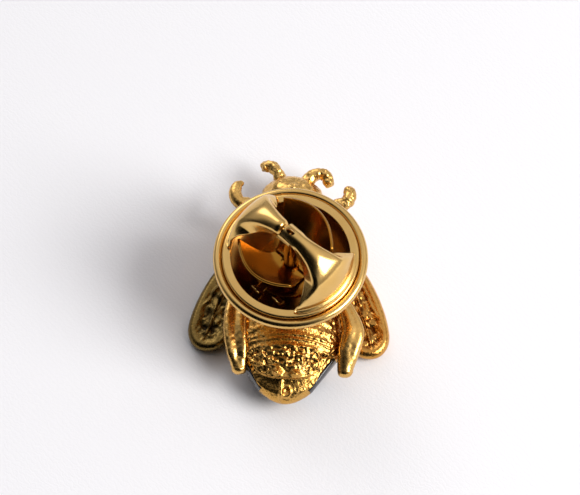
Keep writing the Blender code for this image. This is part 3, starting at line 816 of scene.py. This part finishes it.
inner = CAP_EDGE_R + 0.04
cap_top = curve_through(
    [(inner + 0.08, 0.49), (4.78, 0.49), (4.98, 0.47), (5.07, 0.4), (5.1, 0.28), (5.07, 0.12), (5.04, 0.0),
     (5.05, -0.2), (5.14, -0.38)], 44)
cap_under = curve_through(
    [(5.0, -0.56), (4.87, -0.42), (4.83, -0.02), (4.74, 0.14), (4.6, 0.22), (inner + 0.05, 0.2)], 24)
cap_inner_edge = [(inner, 0.33), (inner + 0.01, 0.41), (inner + 0.04, 0.47)]
cap_lower_edge = [(5.22, -0.46), (5.13, -0.53)]
cap_outline = np.vstack([cap_inner_edge, cap_top, cap_lower_edge, cap_under, [(inner + 0.01, 0.24)]])
cap_ring = mesh_of_rings("cap_ring", turned(cap_outline, ROUND, from_clutch), "closed")
piece("cap_ring", cap_ring, "clutch_cap", GOLD_SHEET, ["clutch_cap_ring"])

# %% [markdown]
# ## The bridge and its ears
#
# The bridge is a strip of the cap that was left between two windows and pushed up into an arch. Its
# foot bows outwards with the cap's edge, its waist is crowned, and both long edges are turned down
# for stiffness. A table gives the strip's middle line, and each row of it becomes a section: the
# outer face, a half-round edge, the inner face and the other edge.

# %% Strips of sheet metal


def sheet_rings(face, thick, round_edge=7):
    """Closed sections from a grid of face points: face, half circle, back face thick mm in, half circle."""
    along, across = np.gradient(face, axis=0), np.gradient(face, axis=1)
    n = np.cross(along, across)
    n /= np.linalg.norm(n, axis=2, keepdims=True)
    side = across / np.linalg.norm(across, axis=2, keepdims=True)
    t = np.broadcast_to(np.asarray(thick, float).reshape(-1, 1, 1), (face.shape[0], 1, 1))
    back = face - n * t
    turn = np.linspace(0, np.pi, round_edge + 2)[1:-1][None, :, None]

    def edge(i, way):
        middle = face[:, [i]] - n[:, [i]] * t / 2
        return middle + t / 2 * (np.cos(turn) * n[:, [i]] + way * np.sin(turn) * side[:, [i]])

    return np.concatenate([face, edge(-1, 1), back[:, ::-1], edge(0, -1)[:, ::-1]], 1)


# %% Ear shapes
BRIDGE_TOP = 4.4
WAIST_DROP = 0.3
LIP_START = 0.72
WAIST_SHEET, FEATHER = 0.14, 0.05
SLOT_LOW, SLOT_HIGH = 3.0, 5.2
# distance out, height, half width, roundness across, depth of the turned-down edge
EAR_LINE = ((3.9, 2.85, 1.35, 0.8, 0.9), (3.3, 3.45, 0.98, 0.6, 1.0), (2.5, 3.9, 0.68, 0.45, 0.85),
            (1.4, 4.25, 0.52, 0.35, 0.5))
WIDE_FOOT = ((4.86, 0.53, 2.5, 1.0, 0.0), (4.74, 0.57, 2.95, 1.0, 0.0), (4.6, 0.64, 3.12, 1.0, 0.0),
             (4.47, 0.86, 2.98, 1.0, 0.03), (4.4, 1.35, 2.55, 1.0, 0.2), (4.22, 2.05, 2.0, 0.95, 0.5))
NARROW_FOOT = ((4.86, 0.53, 2.1, 1.0, 0.0), (4.74, 0.57, 2.5, 1.0, 0.0), (4.6, 0.64, 2.63, 1.0, 0.0),
               (4.47, 0.86, 2.5, 1.0, 0.03), (4.4, 1.35, 2.2, 1.0, 0.12), (4.22, 2.05, 1.85, 0.95, 0.4))
OVER_LINE = ((0.75, 4.36, 0.5, 0.3, 0.12), (0.0, BRIDGE_TOP, 0.5, 0.3, 0.05),
             (-0.48, BRIDGE_TOP - 0.01, 0.5, 0.3, 0.05))
UNDER_LINE = ((1.0, 4.31, 0.5, 0.3, 0.4), (0.82, 4.16, 0.47, 0.3, 0.35), (0.66, 3.97, 0.44, 0.3, 0.3),
              (-0.4, 3.97, 0.42, 0.3, 0.25))


def ear_face(line, rows, cols):
    """Row k has its middle at (out, height); across it X falls by the cap's circle and Z by the crown."""
    knots = curve_through(line, rows)
    across = np.linspace(-1, 1, cols)[None, :]
    out, height, half, bow, lip = (knots[:, i : i + 1] for i in range(5))
    width = np.minimum(np.abs(across) / LIP_START, 1.0) ** 0.9
    lateral = half * np.sign(across) * width
    reach = np.maximum(out, CAP_EDGE_R)
    circle = reach - np.sqrt(np.maximum(reach**2 - lateral**2, 0.01))
    share = np.clip((bow - 0.3) / 0.7, 0, 1)
    turn_in = step_up(np.abs(across), LIP_START - 0.04, 1.0) * lip
    slope = np.gradient(knots[:, :2], axis=0)
    slope /= np.linalg.norm(slope, axis=1, keepdims=True)
    x = out - circle * share - slope[:, 1:2] * turn_in
    z = height - WAIST_DROP * (1 - share) * width**2 + slope[:, :1] * turn_in
    spread = 0.1 * np.sign(across) * np.maximum(np.abs(across) - LIP_START, 0) / (1 - LIP_START)
    return np.stack([x, lateral + spread, z], 2)


def make_ear(name, node, body, side, line, slot_half):
    """Sheet that thins from SHEET at the shoulder to WAIST_SHEET and to a feather where it meets the cap."""
    rows = 160
    face = ear_face(line, rows, 81)
    knots = curve_through(line, rows)
    out, height = knots[:, 0], knots[:, 1]
    thick = FEATHER + (SHEET - FEATHER) * step_up(height, 0.5, 1.1)
    thick = np.where(out < 3.0, WAIST_SHEET + (SHEET - WAIST_SHEET) * step_up(out, 0.9, 3.0), thick)
    rings = sheet_rings(face, thick)
    rings[..., :2] *= side
    mesh = mesh_of_rings(name, from_clutch(rings), "ladder")
    obj = piece(name, mesh, body, GOLD_SHEET, [node])
    a = np.linspace(0, 2 * np.pi, 64, endpoint=False)
    z = np.array([SLOT_LOW, SLOT_HIGH])[:, None]
    hole = np.stack([slot_half[0] * np.cos(a) + 0 * z, slot_half[1] * np.sin(a) + 0 * z, z + 0 * a], -1)
    cutter = bpy.data.objects.new(name + "_slot", mesh_of_rings(name + "_slot", from_clutch(hole)))
    bpy.context.scene.collection.objects.link(cutter)
    cut = obj.modifiers.new("slot", "BOOLEAN")
    cut.operation, cut.solver, cut.object = "DIFFERENCE", "EXACT", cutter
    bpy.context.view_layer.update()
    done = bpy.data.meshes.new_from_object(obj.evaluated_get(bpy.context.evaluated_depsgraph_get()))
    obj.modifiers.clear()
    obj.data = done
    bpy.data.objects.remove(cutter, do_unlink=True)
    done.set_sharp_from_angle(angle=math.radians(45))
    return obj


# the pin's slot, as half length and half width, is longer in the ear that lies underneath
make_ear("bridge_left", "clutch_ear_left", "ear_left", -1, NARROW_FOOT + EAR_LINE + UNDER_LINE, (0.5, 0.28))
make_ear("bridge_right", "clutch_ear_right", "ear_right", 1, WIDE_FOOT + EAR_LINE + OVER_LINE, (0.37, 0.24))

# %% [markdown]
# ## The spring
#
# Inside sits a spring of thinner strip. A flat oval foot lies in the cup, and two cheeks slope from
# the windows down to the pin, like two cupped hands. Four small lugs stand up at the foot's edge.

# %% Cheeks and spring foot
CHEEK_HALF = (2.7, 1.5)
CHEEK_Z = (1.5, -0.85)
CHEEK_FOOT_Y = 0.08
CHEEK_CURL = 1.28
STRIP = 0.22


def cheek_face(side, top_y, lean, slant, rows=60, cols=70):
    """Height falls as a sine down the cheek; lean shifts its upper edge, curl and slant bend it."""
    down = np.linspace(0, 1, rows)[:, None]
    along = side * np.linspace(-1, 1, cols)[None, :]
    ease, up = np.sin(down * np.pi / 2), 1 - down
    x = lean * up + (CHEEK_HALF[0] + (CHEEK_HALF[1] - CHEEK_HALF[0]) * ease) * along
    y = top_y + (CHEEK_FOOT_Y - top_y) * down - up * (CHEEK_CURL * along**2 + slant * along)
    z = CHEEK_Z[0] + (CHEEK_Z[1] - CHEEK_Z[0]) * ease + 0 * along
    p = np.stack([x, side * y, z], 2)
    gap = PIN_R + 0.04
    close = np.hypot(p[..., 0], p[..., 1]) < gap
    p[..., 1] = np.where(close, side * np.sqrt(np.maximum(gap**2 - p[..., 0] ** 2, 0)), p[..., 1])
    return p


CHEEKS = (("head_side", 1, 3.7, -0.5, 0.4), ("tail_side", -1, 3.25, -0.6, 0.0))
for where, side, top_y, lean, slant in CHEEKS:
    face = cheek_face(side, top_y, lean, slant)
    node = "spring_jaw_" + where
    mesh = mesh_of_rings(node, from_clutch(sheet_rings(face, STRIP)), "ladder")
    piece("cheek_" + where, mesh, "jaw_" + where, GOLD_SPRING_PAINTED_SHADE, [node])

FOOT_HOLE_R, FOOT_R = 0.66, 2.62
foot_low = -CUP_DEPTH + SHEET + 0.03
foot_high = foot_low + STRIP
foot_outline = rounded(
    [(FOOT_HOLE_R, foot_high), (FOOT_R, foot_high), (FOOT_R, foot_low), (FOOT_HOLE_R, foot_low)], 0.08)
foot = turned(foot_outline, 160, lambda p: p)
outness = np.clip((np.hypot(foot[..., 0], foot[..., 1]) - FOOT_HOLE_R) / (FOOT_R - FOOT_HOLE_R), 0, 1)
foot[..., 0] *= 1 - 0.045 * outness
foot[..., 1] *= 1 + 0.05 * outness
foot_mesh = mesh_of_rings("spring_foot", from_clutch(foot), "closed")
piece("spring_foot", foot_mesh, "clutch_cap", GOLD_SPRING_PAINTED_SHADE, ["spring_base"])

LUG_HALF, LUG_ROOT, LUG_TALL, LUG_SHEET = 0.28, 2.5, 0.62, 0.16


def lug_face(x, side, reach):
    """A tab 0.56 mm wide that runs out from the foot to reach and turns up, a little higher at one corner."""
    t = np.linspace(0, 1, 24)[:, None]
    w = np.linspace(-LUG_HALF, LUG_HALF, 12)[None, :]
    bend = step_up(t, 0.45, 0.85)
    y = side * (LUG_ROOT + (reach - LUG_ROOT) * t + 0 * w)
    z = foot_high + 0.02 + (LUG_TALL - 0.5 * w) * bend * t
    return np.stack([x + w + 0 * t, y, z], 2)


LUGS = ((-0.32, -1, 3.45), (1.4, -1, 3.05), (0.32, 1, 3.45), (-1.4, 1, 3.05))
for number, (x, side, reach) in enumerate(LUGS, 1):
    name = f"spring_lug_{number}"
    mesh = mesh_of_rings(name, from_clutch(sheet_rings(lug_face(x, side, reach), LUG_SHEET)), "ladder")
    piece(name, mesh, "clutch_cap", GOLD_SHEET, ["spring_base"])

# %% [markdown]
# ## Table, light and camera
#
# The tack lies on a plain white cloth. A large soft light on the right gives the long highlights and
# a soft shadow to the left. Gold that sees only white looks flat, because its dark tones are
# reflections too, so the room has bright patches behind and on the right, and is dark in front.

# %% Cloth
CLOTH, cloth_tree, cloth_out, cloth_place = new_finish("white_cotton_twill")
twist = {"Scale": per_mm(0.85), "Distortion": 9.0, "Detail": 3.0, "Detail Scale": 2.5}
threads = add_node(cloth_tree, "ShaderNodeTexWave", {"bands_direction": "DIAGONAL"}, twist,
                   {"Vector": cloth_place})
fuzz = noise(cloth_tree, cloth_place, 0.3, 3.0)
weave = add_node(cloth_tree, "ShaderNodeMath", {"operation": "ADD"}, {},
                 {0: threads.outputs["Fac"], 1: fuzz.outputs["Fac"]})
weave_bump = add_node(cloth_tree, "ShaderNodeBump", {}, {"Strength": 0.14, "Distance": 0.03 * MM},
                      {"Height": weave.outputs["Value"]})
cotton = add_node(cloth_tree, "ShaderNodeBsdfPrincipled", {},
                  {"Base Color": linear("#F0EFF1"), "Roughness": 0.85},
                  {"Normal": weave_bump.outputs["Normal"]})
cloth_tree.links.new(cotton.outputs["BSDF"], cloth_out.inputs["Surface"])

FLOOR_HALF = 400.0
corners = np.array([(-1, -1, 0), (1, -1, 0), (1, 1, 0), (-1, 1, 0)]) * FLOOR_HALF * MM
floor_mesh = bpy.data.meshes.new("cloth")
floor_mesh.from_pydata(corners.tolist(), [], [(0, 1, 2, 3)])
floor_mesh.materials.append(CLOTH)
floor = bpy.data.objects.new("cloth", floor_mesh)
bpy.context.scene.collection.objects.link(floor)
floor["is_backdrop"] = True

# %% Room
world = bpy.data.worlds.new("studio")
bpy.context.scene.world = world
world.use_nodes = True
room = world.node_tree
looking = add_node(room, "ShaderNodeTexCoord").outputs["Generated"]


def toward(azimuth, elevation):
    """The unit vector at an azimuth, 0 in front and 90 on the right, and an elevation in degrees."""
    a, e = math.radians(azimuth), math.radians(elevation)
    return Vector((math.sin(a) * math.cos(e), -math.cos(a) * math.cos(e), math.sin(e)))


def glow(azimuth, elevation, inner, outer, strength):
    """A soft patch: full strength within inner degrees of its middle, fading to nothing at outer."""
    facing = add_node(room, "ShaderNodeVectorMath", {"operation": "DOT_PRODUCT"},
                      {1: toward(azimuth, elevation)}, {0: looking})
    fade = add_node(room, "ShaderNodeMapRange", {"interpolation_type": "SMOOTHSTEP"},
                    {"From Min": math.cos(math.radians(outer)), "From Max": math.cos(math.radians(inner)),
                     "To Max": strength}, {"Value": facing.outputs["Value"]})
    return fade.outputs["Result"]


def room_math(operation, first, second):
    """One step of arithmetic; each of the two is a number or a socket."""
    pair = {0: first, 1: second}
    values = {i: v for i, v in pair.items() if isinstance(v, float)}
    links = {i: v for i, v in pair.items() if i not in values}
    return add_node(room, "ShaderNodeMath", {"operation": operation}, values, links).outputs["Value"]


ROOM_BASE = 0.18
PATCHES = ((180, 58, 12, 72, 0.62), (90, 25, 15, 65, 0.3), (207, 32, 8, 22, 2.6))
SHADE = (340, 38, 30, 62, 1.0)
brightness = ROOM_BASE
for patch in PATCHES:
    brightness = room_math("ADD", brightness, glow(*patch))
brightness = room_math("MULTIPLY", brightness, room_math("SUBTRACT", 1.0, glow(*SHADE)))
background = room.nodes["Background"]
background.inputs["Color"].default_value = linear("#F4F2F4")
room.links.new(brightness, background.inputs["Strength"])

# %% Lights


def soft_light(name, azimuth, elevation, distance, size, power, colour="#FFFFFF"):
    """A square area light at an angle and distance from the tack, aimed at it."""
    way = toward(azimuth, elevation)
    data = bpy.data.lights.new(name, "AREA")
    data.size, data.energy, data.color = size, power, linear(colour)[:3]
    lamp = bpy.data.objects.new(name, data)
    lamp.location = way * distance + Vector((0, 0, RIM_Z * MM))
    lamp.rotation_euler = (-way).to_track_quat("-Z", "Y").to_euler()
    bpy.context.scene.collection.objects.link(lamp)
    return lamp


soft_light("key", 76, 38, 0.5, 0.28, 2.75)

# %% [markdown]
# ## Camera
#
# A long lens a little way off keeps the round rim a clean oval. The camera looks down at 64.5
# degrees, three degrees round from the front, and takes in 43 mm of the cloth from side to side.

# %% Camera
AZIMUTH, ELEVATION = 3.0, 64.5
LENS, SENSOR = 180.0, 36.0
VIEW_WIDTH = 43.027
AIM_ASIDE, AIM_UP = -0.037, 0.779
target = Vector((PIN_X, PIN_Y, RIM_Z)) * MM
way = toward(AZIMUTH, ELEVATION)
camera_data = bpy.data.cameras.new("camera")
camera_data.lens, camera_data.sensor_width = LENS, SENSOR
camera_data.clip_start = 0.001
camera = bpy.data.objects.new("camera", camera_data)
camera.location = target + way * (LENS / SENSOR * VIEW_WIDTH * MM)
camera.rotation_euler = (-way).to_track_quat("-Z", "Y").to_euler()
camera_data.shift_x = AIM_ASIDE / VIEW_WIDTH
camera_data.shift_y = AIM_UP / VIEW_WIDTH
bpy.context.scene.collection.objects.link(camera)
bpy.context.scene.camera = camera
bpy.context.scene.view_settings.view_transform = "Standard"
print(f"camera {(camera.location - target).length / MM:.0f} mm away")

# %% [markdown]
# ## Check the size
#
# The new surfaces must stay the size of the imported model, so both boxes are written side by side.

# %% Sizes
new_box = [list(corner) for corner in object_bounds()]
for label, box in (("cad", cad_box), ("visual", new_box)):
    print(label, [[round(c / MM, 2) for c in corner] for corner in box])
